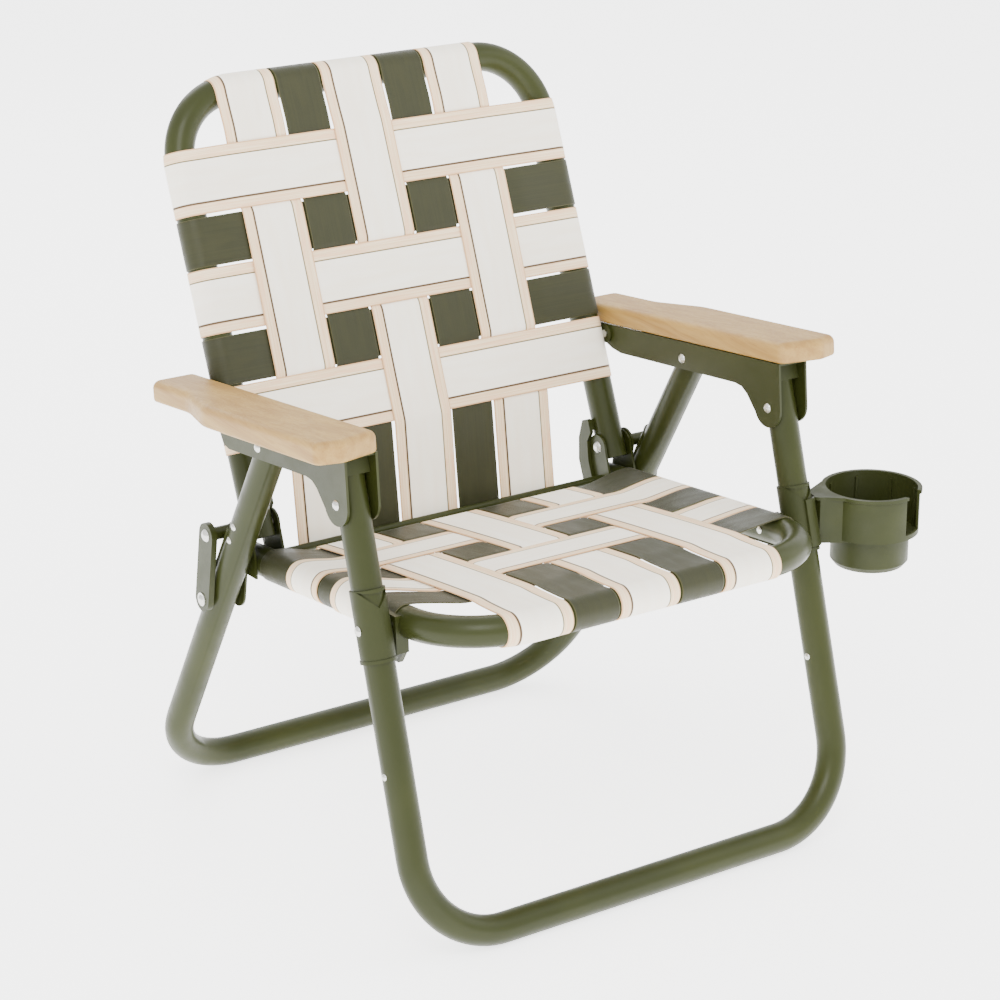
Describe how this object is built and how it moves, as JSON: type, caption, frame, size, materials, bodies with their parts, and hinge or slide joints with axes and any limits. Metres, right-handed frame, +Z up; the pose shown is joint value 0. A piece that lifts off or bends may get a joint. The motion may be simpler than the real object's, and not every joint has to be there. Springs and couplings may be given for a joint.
{
  "type": "folding camp chair",
  "caption": "Low folding camp chair: olive steel tube frames, woven cream and olive webbing, wooden armrests, clip-on cup holder.",
  "frame": {"origin": "middle of the overall footprint, on the ground", "axes": "+Z up, the sitter faces -Y, +X to the sitter's left, where the cup holder is"},
  "size_m": [0.665, 0.5161, 0.7054],
  "materials": {
    "olive_paint": "satin powder coat",
    "olive_plastic": "matte moulded",
    "dark_plastic": "matte moulded",
    "hardwood": "oiled satin",
    "zinc_steel": "zinc plated",
    "cream_webbing": "woven, tan edge bands",
    "olive_webbing": "woven satin"
  },
  "bodies": {
    "seat": {"seat_frame": "olive_paint", "seat_rear_bar": "olive_paint", "seat_tube_plugs": "dark_plastic", "hinge_plates_left": "olive_paint", "hinge_plates_right": "olive_paint", "cross_rod": "olive_paint", "seat_pivot_ears": "olive_paint", "seat_pivot_bolts": "zinc_steel", "back_pivot_bolts": "zinc_steel", "seat_strap_long_1": "cream_webbing", "seat_strap_long_2": "olive_webbing", "seat_strap_long_3": "cream_webbing", "seat_strap_long_4": "olive_webbing", "seat_strap_long_5": "cream_webbing", "seat_strap_cross_1": "olive_webbing", "seat_strap_cross_2": "cream_webbing", "seat_strap_cross_3": "olive_webbing", "seat_strap_cross_4": "cream_webbing", "seat_strap_cross_5": "olive_webbing"},
    "front_legs": {"front_leg_frame": "olive_paint", "front_leg_caps": "olive_plastic", "front_leg_sleeve_left": "olive_plastic", "front_leg_sleeve_right": "olive_plastic", "front_leg_rivets": "zinc_steel", "cup_holder": "olive_plastic", "cup_clip": "olive_plastic"},
    "backrest": {"backrest_frame": "olive_paint", "back_lower_bar": "olive_paint", "back_bar_arms": "olive_paint", "back_tube_plugs": "dark_plastic", "back_arm_lugs": "olive_paint", "back_strap_long_1": "cream_webbing", "back_strap_long_2": "olive_webbing", "back_strap_long_3": "cream_webbing", "back_strap_long_4": "olive_webbing", "back_strap_long_5": "cream_webbing", "back_strap_cross_1": "cream_webbing", "back_strap_cross_2": "olive_webbing", "back_strap_cross_3": "cream_webbing", "back_strap_cross_4": "olive_webbing", "back_strap_cross_5": "cream_webbing"},
    "armrests": {"armrest_wood_left": "hardwood", "armrest_wood_right": "hardwood", "armrest_bracket_left": "olive_paint", "armrest_bracket_right": "olive_paint", "armrest_screws": "zinc_steel", "arm_front_bolts": "zinc_steel", "arm_rear_bolts": "zinc_steel", "arm_back_rivets": "zinc_steel"},
    "rear_legs": {"rear_leg_frame": "olive_paint", "rear_leg_saddles": "olive_paint", "rear_leg_rivets": "zinc_steel"},
    "links": {"link_plates_left": "olive_paint", "link_plates_right": "olive_paint", "link_spacers": "olive_paint", "link_lower_rivets": "zinc_steel"}
  },
  "joints": [
    {"name": "front_leg_fold", "type": "hinge", "parent": "seat", "child": "front_legs", "pos_m": [0, -0.15902, 0.29595], "axis": [1, 0, 0], "range_deg": [0, 84]},
    {"name": "backrest_fold", "type": "hinge", "parent": "seat", "child": "backrest", "pos_m": [0, 0.09522, 0.31], "axis": [1, 0, 0], "range_deg": [0, 84]},
    {"name": "armrest_fold", "type": "hinge", "parent": "front_legs", "child": "armrests", "pos_m": [0, -0.12815, 0.40361], "axis": [1, 0, 0], "range_deg": [-84, 0]},
    {"name": "rear_leg_fold", "type": "hinge", "parent": "armrests", "child": "rear_legs", "pos_m": [0, 0.00372, 0.42047], "axis": [1, 0, 0], "range_deg": [0, 32.1]},
    {"name": "link_fold", "type": "hinge", "parent": "seat", "child": "links", "pos_m": [0, 0.09522, 0.31], "axis": [1, 0, 0], "range_deg": [-51.08, 0]}
  ],
  "couplings": [
    {"joint": "backrest_fold", "follows": "front_leg_fold", "ratio": 1},
    {"joint": "armrest_fold", "follows": "front_leg_fold", "ratio": -1},
    {"joint": "rear_leg_fold", "follows": "front_leg_fold", "ratio": 0.382},
    {"joint": "link_fold", "follows": "front_leg_fold", "ratio": -0.608}
  ]
}
